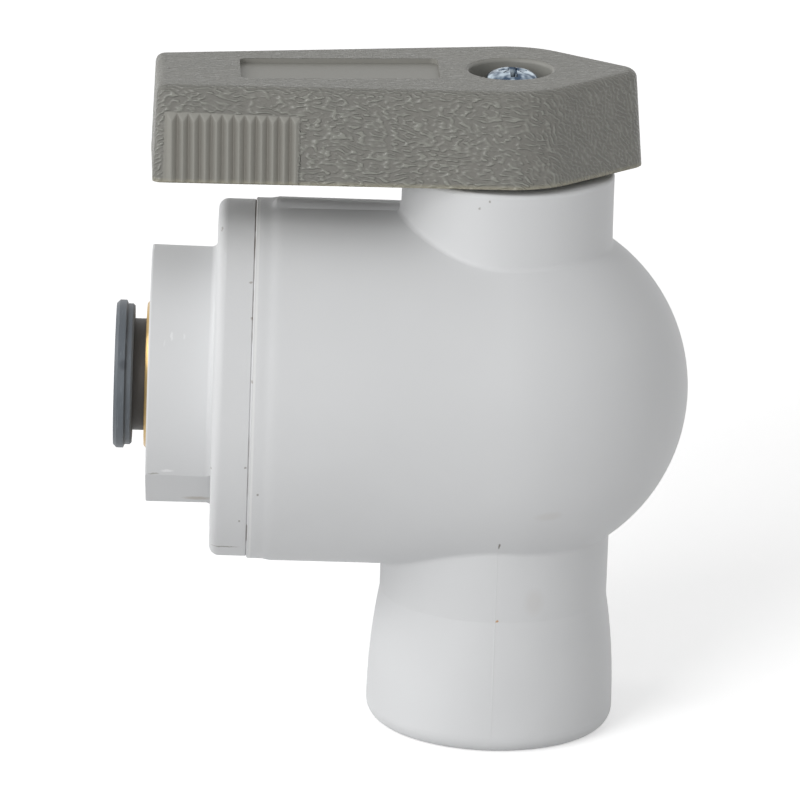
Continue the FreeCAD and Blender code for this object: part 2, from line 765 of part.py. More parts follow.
def make_handle():
    """Hollow moulded lever with grip ridges on both flanks. Slack on the stem's square lets it lean."""
    body = new_piece("PartDesign::Body", "handle", height=handle_bottom, turn=d.handle_turn,
                     lean=d.handle_lean)
    plan = new_sketch(body, "plan", "XY_Plane")
    outer = lever_outline(sized(0), d.handle_half_width, d.handle_reach, d.nose_reach)
    draw_loop(plan, outer)
    block = extruded(body, "block", plan, d.handle_height)
    block.TaperAngle = -d.handle_draft.value
    bind(block, TaperAngle=-d.handle_draft)

    draft_shift = (d.handle_height * tangent(d.handle_draft) * 2).value

    def upright_edges(*corners):
        places = [(sized(corner[0]).value, sized(corner[1]).value) for corner in corners]
        return lambda p: any(math.hypot(p.x - x, p.y - y) < draft_shift for x, y in places)

    rounded(body, "shoulders", d.shoulder_round, upright_edges(outer[1], outer[3]))
    rounded(body, "nose", d.nose_round, upright_edges(outer[2]))
    rounded(body, "grip_end", d.end_round, upright_edges(outer[0], outer[4]))
    rounded(body, "top_edges", d.top_round, lambda p: near(p.z, d.handle_height))

    depth = d.handle_height - d.handle_plate
    hollow = new_sketch(body, "hollow_outline", "XY_Plane")
    draw_loop(hollow, lever_outline(d.handle_wall, d.handle_half_width, d.handle_reach, d.nose_reach))
    extruded(body, "hollow", hollow, depth, cut=True, reversed_way=True)
    plate_foot = depth + d.embed
    for name, side in (("front_rib", -1), ("back_rib", 1)):
        rib = new_sketch(body, name + "_outline", "XY_Plane", d.rib_lift)
        middle = d.rib_offset * side
        draw_loop(rib, box_corners(-(d.handle_reach - d.handle_wall / 2), -(d.hub_radius - d.rib_into_hub),
                                   middle - d.rib_thickness / 2, middle + d.rib_thickness / 2))
        extruded(body, name, rib, plate_foot - d.rib_lift)
    hub = new_sketch(body, "hub_outline", "XY_Plane", d.hub_lift)
    draw_circle(hub, d.hub_radius)
    extruded(body, "hub", hub, plate_foot - d.hub_lift)

    # The stop lug reaches down into the housing's groove, and a web ties it to the hub.
    lug_bottom = stop_floor + d.stop_gap - handle_bottom
    lug = new_sketch(body, "lug_outline", "XY_Plane", lug_bottom)
    draw_loop(lug, sector(d.stop_inner + d.stop_gap, d.stop_outer - d.stop_gap,
                          -d.stop_lug_angle, d.stop_lug_angle))
    extruded(body, "lug", lug, plate_foot - lug_bottom)
    web = new_sketch(body, "web_outline", "XY_Plane", d.hub_lift)
    draw_loop(web, box_corners(d.hub_radius - d.web_into_hub, d.stop_inner + d.stop_gap * 2,
                               -d.rib_thickness / 2, d.rib_thickness / 2))
    extruded(body, "web", web, plate_foot - d.hub_lift)

    socket = new_sketch(body, "socket_outline", "XY_Plane")
    socket_height = stem_top - handle_bottom + d.square_width * tangent(d.handle_lean)
    half = d.square_width / 2 + d.square_gap + socket_height * tangent(d.handle_lean)
    draw_loop(socket, box_corners(-half, half, -half, half))
    extruded(body, "socket", socket, socket_height, cut=True, reversed_way=True)
    through = new_sketch(body, "screw_way_outline", "XY_Plane", d.handle_height)
    draw_circle(through, d.screw_radius + d.screw_gap + d.handle_height * tangent(d.handle_lean))
    extruded(body, "screw_way", through, d.handle_height, cut=True)
    well = new_sketch(body, "well_outline", "XY_Plane", d.handle_height)
    draw_circle(well, d.well_radius)
    extruded(body, "well", well, d.well_depth, cut=True)
    rounded(body, "well_rim", d.well_round,
            lambda p: near(p.z, d.handle_height) and near(off_axis(p), d.well_radius))

    panel = new_sketch(body, "panel_outline", "XY_Plane", d.handle_height)
    draw_loop(panel, rounded_box(-(d.handle_reach - d.panel_margin), -d.panel_start,
                                 -d.panel_half_width, d.panel_half_width, d.panel_round))
    extruded(body, "panel", panel, d.panel_depth, cut=True)
    for name, side, corner in (("front", -1, outer[0]), ("back", 1, outer[4])):
        add_grip_ridges(body, name, side, corner)


def add_grip_ridges(body, name, side, corner):
    """A row of upright ridges on one flank, foot to foot and hipped at their upper ends.

    Each ridge starts as deep inside the wall as it stands proud of it, so it is twice as wide there."""
    first = -corner[0] - d.grip_margin
    if side < 0:
        first = first - d.grip_pitch * d.grip_count * cosine(d.handle_taper)
    flank = d.handle_half_width - first * tangent(d.handle_taper)
    heading = d.handle_taper if side > 0 else sized(180) - d.handle_taper
    row = new_sketch(body, name + "_row", "XY_Plane")
    turned_row = FreeCAD.Rotation(Vector(0, 0, 1), heading.value)
    row.AttachmentOffset = FreeCAD.Placement(Vector(0, 0, 0), turned_row)
    bind(row, AttachmentOffset__Rotation__Angle=heading)

    ridge = body.newObject("PartDesign::AdditiveWedge", name + "_ridge")
    ridge.AttachmentSupport = [(row, "")]
    ridge.MapMode = "ObjectXY"
    middle = d.grip_pitch / 2
    root = d.grip_pitch - d.grip_valley - d.grip_land / 2
    bind(ridge, Xmin=middle - root, Xmax=middle + root, Ymin=-d.grip_depth, Ymax=d.grip_depth,
         Zmin=d.grip_lift, Zmax=d.grip_height + d.grip_hip,
         X2min=middle - d.grip_land / 2, X2max=middle + d.grip_land / 2,
         Z2min=d.grip_lift, Z2max=d.grip_height - d.grip_hip)
    lean = FreeCAD.Rotation(Vector(1, 0, 0), d.handle_draft.value)
    ridge.AttachmentOffset = FreeCAD.Placement(Vector(0, 0, 0), lean)
    turn_back = cosine(heading), sine(heading)
    along, across = -first, flank * side
    bind(ridge, AttachmentOffset__Rotation__Angle=d.handle_draft,
         AttachmentOffset__Base__x=along * turn_back[0] + across * turn_back[1],
         AttachmentOffset__Base__y=across * turn_back[0] - along * turn_back[1])
    ridges = body.newObject("PartDesign::LinearPattern", name + "_ridges")
    ridges.Originals = [ridge]
    ridges.Direction = (row, ["H_Axis"])
    ridges.Mode = "Spacing"
    bind(ridges, Offset=d.grip_pitch, Occurrences=d.grip_count)
    body.Tip = ridges


def make_handle_screw():
    """Pan-head machine screw, its head in the lever's well."""
    seat_rise = d.head_radius * tangent(d.handle_lean)
    body = new_piece("PartDesign::Body", "handle_screw", height=well_seat + seat_rise, turn=d.handle_turn)
    shank = d.screw_length - d.well_floor - d.screw_gap * 4
    crown_edge = d.head_height - (d.head_crown - side_of(d.head_crown, d.head_radius - d.head_edge))
    turned(body, "blank", "stem", [
        (0, -shank),
        (d.screw_radius - d.screw_chamfer, -shank),
        (d.screw_radius, -(shank - d.screw_chamfer)),
        (d.screw_radius, 0),
        (d.head_radius, 0),
        (d.head_radius, crown_edge - d.head_edge),
        (d.head_radius - d.head_edge, crown_edge, d.head_crown, 1),
        (0, d.head_height),
    ])
    long_arm, arm = d.cross_half_length, d.cross_half_width
    cross = new_sketch(body, "cross_outline", "XY_Plane", d.head_height)
    draw_loop(cross, [
        (-long_arm, -arm), (-arm, -arm), (-arm, -long_arm), (arm, -long_arm),
        (arm, -arm), (long_arm, -arm), (long_arm, arm), (arm, arm),
        (arm, long_arm), (-arm, long_arm), (-arm, arm), (-long_arm, arm),
    ])
    extruded(body, "cross", cross, d.cross_depth, cut=True)


def make_cartridge_ring():
    """Brass ring pressed into the port, with a shoulder that keeps the release button in."""
    body = new_piece("PartDesign::Body", "cartridge_ring")
    chamfer = d.cartridge_chamfer
    neck_end = cartridge_out - d.cartridge_neck
    turned(body, "ring", "barrel", [
        (-cartridge_out, cartridge_bore + chamfer),
        (-cartridge_out, socket_radius - chamfer),
        (-(cartridge_out - chamfer), socket_radius),
        (-cartridge_in, socket_radius),
        (-cartridge_in, cartridge_flare),
        (-(neck_end - d.neck_slope), cartridge_flare),
        (-neck_end, cartridge_bore),
        (-(cartridge_out - chamfer), cartridge_bore),
    ])


def make_release_button():
    """Push button: a collar outside, and a sleeve that reaches in to the grip ring's teeth."""
    body = new_piece("PartDesign::Body", "release_button")
    step = collar_back + d.collar_back_thickness
    front = step + d.collar_thickness
    collar_radius = d.tube_bore + d.collar_reach
    back_radius = collar_radius - d.collar_step
    bead_radius = sleeve_radius + d.bead_height
    bead = cartridge_out - d.cartridge_neck - d.bead_gap - d.neck_slope
    end = bead - d.bead_length
    turned(body, "button", "barrel", [
        (-front, d.tube_bore + d.bore_lead),
        (-front, collar_radius - d.collar_chamfer),
        (-(front - d.collar_chamfer), collar_radius),
        (-(step + d.collar_step_slope), collar_radius),
        (-step, back_radius),
        (-(collar_back + d.collar_back_chamfer), back_radius),
        (-collar_back, back_radius - d.collar_back_chamfer),
        (-collar_back, sleeve_radius),
        (-(bead + d.bead_slope), sleeve_radius),
        (-bead, bead_radius),
        (-(bead - d.bead_slope), bead_radius),
        (-end, sleeve_radius - d.bead_slope),
        (-end, d.tube_bore),
        (-(front - d.bore_lead), d.tube_bore),
    ])


def make_grip_ring():
    """Stainless ring whose slit inner cone makes teeth that bite the tube."""
    body = new_piece("PartDesign::Body", "grip_ring")
    rim = cartridge_flare - d.tooth_rim
    turned(body, "cone", "barrel", [
        (-cartridge_in, insert_radius),
        (-cartridge_in, rim),
        (-(cartridge_in - d.tooth_rise), tooth_bore),
        (-(grip_ring_in - d.tooth_rise), tooth_bore),
        (-grip_ring_in, rim),
        (-grip_ring_in, insert_radius),
    ])
    slit = new_sketch(body, "slit_outline", "YZ_Plane", -(cartridge_in + d.cut_margin))
    draw_loop(slit, box_corners(-d.tooth_slot / 2, d.tooth_slot / 2, tooth_bore - d.cut_margin, rim))
    depth = d.tooth_rise + d.grip_ring_thickness + d.cut_margin * 2
    cut = extruded(body, "slit", slit, depth, cut=True, reversed_way=True)
    ring = body.newObject("PartDesign::PolarPattern", "slits")
    ring.Originals = [cut]
    ring.Axis = (slit, ["N_Axis"])
    ring.Angle = 360
    bind(ring, Occurrences=d.tooth_count)
    body.Tip = ring


def make_backup_ring():
    """Ring that backs the tube's seal and leaves room for the teeth."""
    body = new_piece("PartDesign::Body", "backup_ring")
    turned(body, "ring", "barrel", [
        (-grip_ring_in, cartridge_flare - d.backup_rim),
        (-grip_ring_in, insert_radius),
        (-backup_end, insert_radius),
        (-backup_end, tooth_bore),
        (-(backup_end + d.backup_lip), tooth_bore),
    ])


make_valve_body()
make_inlet_cap()
make_ball()
make_seat("inlet_seat")
make_seat("back_seat", turn=d.quarter_turn * 2)
seat_ring_place = seat_back + d.seat_ring_section / 2 + d.seal_gap / 2
make_seal("inlet_seat_o_ring", d.seat_ring_radius, d.seat_ring_section, along=-seat_ring_place)
make_seal("back_seat_o_ring", d.seat_ring_radius, d.seat_ring_section, along=seat_ring_place)
make_seal("cap_o_ring", cap_groove_floor + d.seal_gap + d.seat_ring_section / 2, d.seat_ring_section,
          along=-(cap_groove_start + cap_groove_end) / 2)
make_stem()
make_thrust_washer()
stem_seal_radius = stem_hole - d.seal_gap - d.stem_seal_section / 2
make_seal("stem_o_ring_lower", stem_seal_radius, d.stem_seal_section,
          height=lower_seal_height, upright=True)
make_seal("stem_o_ring_upper", stem_seal_radius, d.stem_seal_section,
          height=upper_seal_height, upright=True)
make_handle()
make_handle_screw()
make_cartridge_ring()
make_release_button()
make_grip_ring()
make_backup_ring()
tube_seal_radius = d.tube_bore + d.seal_gap * 3 + d.tube_seal_section / 2
make_seal("tube_o_ring", tube_seal_radius, d.tube_seal_section,
          along=-(backup_end - d.seal_gap - d.tube_seal_section / 2))

doc.recompute()
for item in doc.Objects:
    if "Invalid" in item.State or "Error" in item.State:
        raise RuntimeError("%s did not build" % item.Name)
for piece in subparts:
    if piece.Shape.isNull() or not piece.Shape.isValid() or not piece.Shape.Solids:
        raise RuntimeError("%s has no sound shape" % piece.Label)

os.makedirs("parts", exist_ok=True)
for piece in subparts:
    piece.Shape.exportStep("parts/%s.step" % piece.Label)
    print("%-20s %d solid, %9.1f cubic mm" % (piece.Label, len(piece.Shape.Solids), piece.Shape.Volume))
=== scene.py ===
import math

import bpy
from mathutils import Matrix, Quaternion, Vector


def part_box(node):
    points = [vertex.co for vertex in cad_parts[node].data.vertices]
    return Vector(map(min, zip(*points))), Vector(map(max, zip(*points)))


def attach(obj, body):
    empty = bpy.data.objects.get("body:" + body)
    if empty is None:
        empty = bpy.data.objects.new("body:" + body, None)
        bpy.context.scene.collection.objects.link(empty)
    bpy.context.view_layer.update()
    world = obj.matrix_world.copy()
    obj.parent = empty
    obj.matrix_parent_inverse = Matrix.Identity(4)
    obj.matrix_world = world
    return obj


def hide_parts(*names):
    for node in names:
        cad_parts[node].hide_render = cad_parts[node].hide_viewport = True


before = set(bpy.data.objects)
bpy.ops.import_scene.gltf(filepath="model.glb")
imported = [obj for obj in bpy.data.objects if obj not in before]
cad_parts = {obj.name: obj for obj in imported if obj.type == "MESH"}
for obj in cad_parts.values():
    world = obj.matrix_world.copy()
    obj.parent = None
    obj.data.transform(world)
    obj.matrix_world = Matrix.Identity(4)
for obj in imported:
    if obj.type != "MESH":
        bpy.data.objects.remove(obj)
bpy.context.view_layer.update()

# The studio: a sheet of matt white paper under a tent of soft light, with three soft boxes at the left, as
# small moulded fittings are photographed for a catalogue. The valve stands on its spout, and the camera
# looks a little down at the inlet side.
MM = 0.001
ball_centre = Vector((0, 0, 36 * MM))
camera_distance = 896.9 * MM
camera_azimuth = math.radians(1.66)
camera_elevation = math.radians(16.4)
camera_roll = math.radians(2.0)
camera_target = Vector((-10.31 * MM, 0, 34.05 * MM))
focal_length = 391.5
sensor_width = 36
towards_camera = Vector((-math.sin(camera_azimuth) * math.cos(camera_elevation),
                         -math.cos(camera_azimuth) * math.cos(camera_elevation),
                         math.sin(camera_elevation)))
camera_data = bpy.data.cameras.new("camera")
camera_data.lens = focal_length
camera_data.sensor_width = sensor_width
camera_data.clip_end = 10
camera = bpy.data.objects.new("camera", camera_data)
camera.location = ball_centre + towards_camera * camera_distance
look = (camera_target - camera.location).to_track_quat("-Z", "Y")
camera.rotation_mode = "QUATERNION"
camera.rotation_quaternion = look @ Quaternion((0, 0, 1), camera_roll)
bpy.context.scene.collection.objects.link(camera)
bpy.context.scene.camera = camera
bpy.context.scene.view_settings.view_transform = "Standard"

# Each soft box: its name, its place in metres and its power in watts. All are round and face the ball.
softbox_size = 0.5
softboxes = [
    ("front_softbox", (-0.6, -1.0, 0.3), 4.4),
    ("side_softbox", (-1.2, 0.1, 0.4), 3.4),
    ("upper_softbox", (-0.85, -0.75, 0.75), 2.2),
]
for name, place, power in softboxes:
    light = bpy.data.lights.new(name, "AREA")
    light.shape = "DISK"
    light.size = softbox_size
    light.energy = power
    softbox = bpy.data.objects.new(name, light)
    softbox.location = place
    softbox.rotation_euler = (ball_centre - Vector(place)).to_track_quat("-Z", "Y").to_euler()
    bpy.context.scene.collection.objects.link(softbox)


def colour(code):
    """An sRGB hex code as linear red, green, blue and alpha."""
    shares = [int(code[place:place + 2], 16) / 255 for place in (1, 3, 5)]
    return [share / 12.92 if share <= 0.04045 else ((share + 0.055) / 1.055) ** 2.4 for share in shares] + [1]


def node(material, kind, inputs=None, **settings):
    """Add a node to a material, with its settings, its input values and the sockets linked into it."""
    made = material.node_tree.nodes.new(kind)
    for name, value in settings.items():
        setattr(made, name, value)
    for name, value in (inputs or {}).items():
        if isinstance(value, bpy.types.NodeSocket):
            material.node_tree.links.new(value, made.inputs[name])
        else:
            made.inputs[name].default_value = value
    return made


def seen_directly(material):
    """1 for a ray from the camera, a mirroring or a see-through surface, 0 for a ray that carries light."""
    rays = node(material, "ShaderNodeLightPath").outputs
    through = node(material, "ShaderNodeMath", {0: rays["Is Camera Ray"], 1: rays["Is Transmission Ray"]},
                   operation="MAXIMUM")
    return node(material, "ShaderNodeMath", {0: through.outputs[0], 1: rays["Is Glossy Ray"]},
                operation="MAXIMUM").outputs[0]


# The tent gives even light, and is seen as plain white where the camera or a shiny surface looks at it.
plain_white = colour("#ffffff")
tent_light = 0.46
tent_seen = 1.0
tent = bpy.data.worlds.new("light_tent")
tent.use_nodes = True
tent.node_tree.nodes.clear()
tent_shade = node(tent, "ShaderNodeBackground", {"Color": plain_white, "Strength": tent_light})
tent_backdrop = node(tent, "ShaderNodeBackground", {"Color": plain_white, "Strength": tent_seen})
tent_mix = node(tent, "ShaderNodeMixShader",
                {0: seen_directly(tent), 1: tent_shade.outputs[0], 2: tent_backdrop.outputs[0]})
node(tent, "ShaderNodeOutputWorld", {"Surface": tent_mix.outputs[0]})
bpy.context.scene.world = tent


def new_material(name):
    """A material with an empty node tree."""
    material = bpy.data.materials.new(name)
    material.use_nodes = True
    material.node_tree.nodes.clear()
    return material


# Matt white paper, seen a little overexposed: the camera gets some glow on top of the light it returns, so
# only the valve's own shadow stays on it. Its fibres lie in soft flocks about 1.5 mm across.
paper_side = 3.0
paper_glow_strength = 0.47
paper_flock = 1.5 * MM
bpy.ops.object.select_all(action="DESELECT")
bpy.ops.mesh.primitive_plane_add(size=paper_side, location=(0, 0, 0))
floor = bpy.context.active_object
floor.name = "studio_paper"
paper = new_material("matt_white_paper")
paper_place = node(paper, "ShaderNodeTexCoord").outputs["Object"]
paper_fibre = node(paper, "ShaderNodeTexNoise",
                   {"Vector": paper_place, "Scale": 1 / paper_flock, "Detail": 3.0})
paper_shade = node(paper, "ShaderNodeMix", {0: paper_fibre.outputs["Fac"], 6: colour("#e7e7e7"),
                                            7: colour("#ebebeb")}, data_type="RGBA")
paper_diffuse = node(paper, "ShaderNodeBsdfDiffuse", {"Color": paper_shade.outputs[2], "Roughness": 1.0})
paper_glow = node(paper, "ShaderNodeEmission", {"Color": plain_white, "Strength": paper_glow_strength})
paper_lit = node(paper, "ShaderNodeAddShader", {0: paper_diffuse.outputs[0], 1: paper_glow.outputs[0]})
paper_mix = node(paper, "ShaderNodeMixShader", {0: seen_directly(paper), 1: paper_diffuse.outputs[0],
                                                2: paper_lit.outputs[0]})
node(paper, "ShaderNodeOutputMaterial", {"Surface": paper_mix.outputs[0]})
floor.data.materials.append(paper)

# The valve body and the inlet cap: white acetal, injection moulded in a lightly eroded tool, the cap spun
# on and welded to the barrel. The eye gets a satin white with a faint mottle, the moulds' parting line down
# the spout, a seam where the weld holds brown dirt, and the scuffs and specks of a handled part.
white_cloud_size = 14 * MM
white = new_material("white_acetal_moulded")
white_place = node(white, "ShaderNodeTexCoord").outputs["Object"]
white_axes = node(white, "ShaderNodeSeparateXYZ", {"Vector": white_place}).outputs
white_cloud = node(white, "ShaderNodeTexNoise",
                   {"Vector": white_place, "Scale": 1 / white_cloud_size, "Detail": 2.0})
white_shade = node(white, "ShaderNodeMix", {0: white_cloud.outputs["Fac"], 6: colour("#d8d9da"),
                                            7: colour("#e1e2e3")}, data_type="RGBA").outputs[2]


def band(material, value, middle, half_width, softness=0.5):
    """1 where a coordinate lies within half_width of a middle, falling softly to 0 outside."""
    offset = node(material, "ShaderNodeMath", {0: value, 1: middle}, operation="SUBTRACT")
    distance = node(material, "ShaderNodeMath", {0: offset.outputs[0]}, operation="ABSOLUTE")
    return node(material, "ShaderNodeMapRange",
                {"Value": distance.outputs[0], "From Min": half_width * (1 + softness),
                 "From Max": half_width * (1 - softness)}).outputs["Result"]


def product(material, *factors):
    """Several masks multiplied together."""
    result = factors[0]
    for factor in factors[1:]:
        result = node(material, "ShaderNodeMath", {0: result, 1: factor}, operation="MULTIPLY").outputs[0]
    return result


def layered(material, shade, layers):
    """A colour with other colours laid over it in turn, each where its mask is 1."""
    for mask, code in layers:
        shade = node(material, "ShaderNodeMix", {0: mask, 6: shade, 7: colour(code)},
                     data_type="RGBA").outputs[2]
    return shade


# The seam is a hair line with a paler edge on the barrel's side. Each dirty stretch of it: its middle height
# and half length in millimetres, and how dark it is. Patches 1.8 mm across break it up.
seam_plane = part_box("valve_body")[0].x
seam_half_width = 0.06 * MM
seam_patch_size = 1.8 * MM
seam_edge_shift = 0.32 * MM
seam_edge_half_width = 0.12 * MM
seam_edge_strength = 0.6
dirty_stretches = [(55.0, 3.6, 0.8), (48.2, 3.6, 0.35), (31.8, 3.4, 0.25), (23.4, 1.2, 0.5)]
seam_dirt = node(white, "ShaderNodeTexNoise",
                 {"Vector": white_place, "Scale": 1 / seam_patch_size, "Detail": 3.0})
seam_patches = node(white, "ShaderNodeMapRange", {"Value": seam_dirt.outputs["Fac"], "From Min": 0.36,
                                                  "From Max": 0.52, "To Min": 0.4, "To Max": 1.0})
seam_share = 0.0
for middle, half_length, strength in dirty_stretches:
    stretch = band(white, white_axes["Z"], middle * MM, half_length * MM, softness=0.10)
    dirt = product(white, stretch, seam_patches.outputs["Result"], strength)
    seam_share = node(white, "ShaderNodeMath", {0: seam_share, 1: dirt}, operation="MAXIMUM").outputs[0]
seam_line = product(white, band(white, white_axes["X"], seam_plane, seam_half_width), seam_share)
seam_edge = product(white, band(white, white_axes["X"], seam_plane + seam_edge_shift, seam_edge_half_width),
                    seam_edge_strength)
white_shade = layered(white, white_shade, [(seam_edge, "#f3f3f2"), (seam_line, "#6d6255")])

# The marks lie at places that a noise shifts a little, so that no mark has a drawn outline.
mark_tear_size = 0.5 * MM
mark_tear_shift = 0.35 * MM
noise_middle = (0.5, 0.5, 0.5)
tear = node(white, "ShaderNodeTexNoise", {"Vector": white_place, "Scale": 1 / mark_tear_size, "Detail": 2.0})
tear_way = node(white, "ShaderNodeVectorMath", {0: tear.outputs["Color"], 1: noise_middle},
                operation="SUBTRACT")
tear_step = node(white, "ShaderNodeVectorMath", {0: tear_way.outputs[0], "Scale": mark_tear_shift},
                 operation="SCALE")
torn_place = node(white, "ShaderNodeVectorMath", {0: white_place, 1: tear_step.outputs[0]},
                  operation="ADD").outputs[0]


def spot(material, place, centre, half_size, strength):
    """An oval patch of the surface, given by its centre and half sizes in millimetres, soft at its rim."""
    rim, core = 1.2, 0.5
    offset = node(material, "ShaderNodeVectorMath", {0: place, 1: Vector(centre) * MM}, operation="SUBTRACT")
    scaled = node(material, "ShaderNodeVectorMath", {0: offset.outputs[0], 1: Vector(half_size) * MM},
                  operation="DIVIDE")
    reach = node(material, "ShaderNodeVectorMath", {0: scaled.outputs[0]}, operation="LENGTH")
    return node(material, "ShaderNodeMapRange", {"Value": reach.outputs["Value"], "From Min": rim,
                                                 "From Max": core, "To Max": strength}).outputs["Result"]


# Each mark: its colour, its centre and half sizes in millimetres, and its strength. Brown specks lie by the
# seam and on the stem housing, pale scuffs on the port, thin scratches on the cap's foot, a pale scratch on
# the port's foot with a painted shadow beside it, a nick and a brass speck down the spout, and two faint
# smudges beside them.
marks = [
    ("#8d8378", (-29.1, -5.6, 53.3), (0.10, 0.5, 0.35), 0.5),
    ("#877b6d", (-26.0, -12.3, 49.6), (0.20, 0.4, 0.14), 0.55),
    ("#877b6d", (-25.8, -15.0, 46.6), (0.18, 0.4, 0.14), 0.55),
    ("#8f8577", (-25.6, -17.9, 40.8), (0.14, 0.4, 0.18), 0.6),
    ("#827b72", (-29.5, -17.0, 31.3), (0.14, 0.4, 0.14), 0.7),
    ("#827b72", (-26.0, -17.9, 31.7), (0.13, 0.4, 0.13), 0.7),
    ("#827b72", (-24.7, -17.1, 28.6), (0.13, 0.4, 0.13), 0.7),
    ("#827b72", (-26.5, -14.8, 25.1), (0.14, 0.4, 0.14), 0.7),
    ("#7c756c", (-27.9, -10.4, 21.0), (1.5, 0.9, 0.09), 0.8),
    ("#eff0f1", (-33.9, -11.2, 43.4), (0.14, 0.8, 0.45), 0.7),
    ("#eff0f1", (-32.6, -11.1, 43.4), (0.12, 0.8, 0.30), 0.6),
    ("#eff0f1", (-34.6, -12.0, 42.8), (0.10, 0.8, 0.40), 0.5),
    ("#f6f6f7", (-34.0, -11.5, 29.2), (0.65, 0.8, 0.18), 0.8),
    # Painted shadow beside the pale scratch at the port's foot.
    ("#96918a", (-35.4, -11.3, 28.8), (0.60, 0.8, 0.10), 0.7),
    ("#a39582", (-30.9, -2.5, 23.6), (1.5, 2.0, 0.4), 0.5),
    ("#8b857d", (-2.1, -10.7, 58.4), (0.14, 0.4, 0.14), 0.7),
    ("#8b857d", (-3.1, -10.4, 57.6), (0.12, 0.4, 0.12), 0.6),
    ("#5f564b", (0.1, -13.1, 22.7), (0.10, 0.9, 0.50), 0.9),
    ("#c08a3c", (0.2, -11.8, 14.2), (0.14, 0.4, 0.16), 0.8),
    ("#b9aea0", (5.0, -15.7, 26.8), (1.6, 0.8, 0.6), 0.14),
    ("#b9aea0", (4.0, -11.1, 16.1), (1.1, 0.8, 1.5), 0.12),
]
white_shade = layered(white, white_shade, [(spot(white, torn_place, centre, half_size, strength), code)
                                           for code, centre, half_size, strength in marks])


def softened(material, mask, radius):
    """The surface's normal, turned smoothly past its edges over a radius where a mask is 1."""
    sharp = node(material, "ShaderNodeNewGeometry").outputs["Normal"]
    soft = node(material, "ShaderNodeBevel", {"Radius": radius}, samples=16).outputs["Normal"]
    return node(material, "ShaderNodeMix", {0: mask, 4: sharp, 5: soft}, data_type="VECTOR").outputs[1]


def surface(material, shade, sheen, relief, constants):
    """Join a colour, a roughness, a normal and the shader's constants, and give them to the output."""
    shader = node(material, "ShaderNodeBsdfPrincipled",
                  {"Base Color": shade, "Roughness": sheen, "Normal": relief, **constants})
    node(material, "ShaderNodeOutputMaterial", {"Surface": shader.outputs[0]})


def dress(material, *names):
    """Give CAD nodes a finish."""
    for name in names:
        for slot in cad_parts[name].material_slots:
            slot.material = material


# The low step from the seam's band up to the barrel runs out softly in the moulding. Over it all lies the
# tool's mottle, drawn half a millimetre coarse so that it shows, and down the spout runs the parting line,
# a hair of flash.
step_middle = seam_plane + 2.0 * MM
step_half_width = 1.4 * MM
step_round = 1.3 * MM
mottle_size = 0.55 * MM
mottle_height = 0.012 * MM
parting_half_width = 0.07 * MM
parting_height = 0.03 * MM
spout_top = 22.8 * MM
step_zone = band(white, white_axes["X"], step_middle, step_half_width, softness=0.2)
white_mottle = node(white, "ShaderNodeTexNoise", {"Vector": white_place, "Scale": 1 / mottle_size,
                                                  "Detail": 3.0, "Roughness": 0.6}).outputs["Fac"]
white_grain = node(white, "ShaderNodeBump", {"Strength": 0.35, "Distance": mottle_height,
                                             "Height": white_mottle,
                                             "Normal": softened(white, step_zone, step_round)})
on_spout = node(white, "ShaderNodeMath", {0: white_axes["Z"], 1: spout_top}, operation="LESS_THAN")
parting_line = product(white, band(white, white_axes["X"], 0.0, parting_half_width), on_spout.outputs[0])
white_relief = node(white, "ShaderNodeBump", {"Strength": 0.6, "Distance": parting_height,
                                              "Height": parting_line,
                                              "Normal": white_grain.outputs["Normal"]})
white_sheen = node(white, "ShaderNodeMapRange", {"Value": white_mottle, "To Min": 0.48, "To Max": 0.60})
surface(white, white_shade, white_sheen.outputs["Result"], white_relief.outputs["Normal"], {"IOR": 1.48})
dress(white, "valve_body", "inlet_cap")

# The lever: grey glass-filled nylon, moulded in a tool etched with a worm grain. The worms lie mostly along
# the lever, 0.4 mm apart on its flanks and 0.13 mm high, and their rubbed tops catch the light. The grip
# ridges, the sunk panel and the screw's well come from polished inserts, so they are plain.
worm_patch_size = 1.08 * MM
worms_per_patch = 2.75
worm_order = 0.60
worm_across = (0.30, 0.35, 0.89)
worm_stretch = (0.78, 1.0, 1.0)
worm_height = 0.13 * MM
grey = new_material("grey_nylon_worm_grained")
grey_place = node(grey, "ShaderNodeTexCoord").outputs["Object"]
worm_place = node(grey, "ShaderNodeMapping", {"Vector": grey_place, "Scale": worm_stretch})
worm_field = node(grey, "ShaderNodeTexGabor",
                  {"Vector": worm_place.outputs[0], "Scale": 1 / worm_patch_size,
                   "Frequency": worms_per_patch, "Anisotropy": worm_order, "Orientation 3D": worm_across},
                  gabor_type="3D")
worm_line = node(grey, "ShaderNodeMapRange", {"Value": worm_field.outputs["Value"], "From Min": 0.42,
                                              "From Max": 0.69}, interpolation_type="SMOOTHSTEP")


def box_mask(material, axes, low, high, softness):
    """1 inside a box, given by its corners in millimetres, falling to 0 over a soft edge."""
    masks = []
    for axis, start, end in zip("XYZ", low, high):
        masks.append(band(material, axes[axis], (start + end) / 2 * MM, (end - start) / 2 * MM, softness))
    return product(material, *masks)


# The lever leans on its square, so the panel, the well and the lower rim are placed by the height above its
# own leaning foot, and the grip ridges by the plain axes. Each zone has a low and a high corner.
lever_lean = math.radians(1.3)
ridge_corners = (-35.3, -12.0, 57.0), (-21.6, 12.0, 66.2)
panel_corners = (-28.3, -5.3, 68.6), (-7.0, 4.4, 69.61)
well_corners = (-4.75, -4.75, 66.0), (4.75, 4.75, 69.61)
grey_axes = node(grey, "ShaderNodeSeparateXYZ", {"Vector": grey_place}).outputs
grey_rise = node(grey, "ShaderNodeMath", {0: grey_axes["X"], 1: -math.tan(lever_lean), 2: grey_axes["Z"]},
                 operation="MULTIPLY_ADD").outputs[0]
leaning_axes = {"X": grey_axes["X"], "Y": grey_axes["Y"], "Z": grey_rise}
ridge_zone = box_mask(grey, grey_axes, *ridge_corners, softness=0.012)
panel_zone = box_mask(grey, leaning_axes, *panel_corners, softness=0.01)
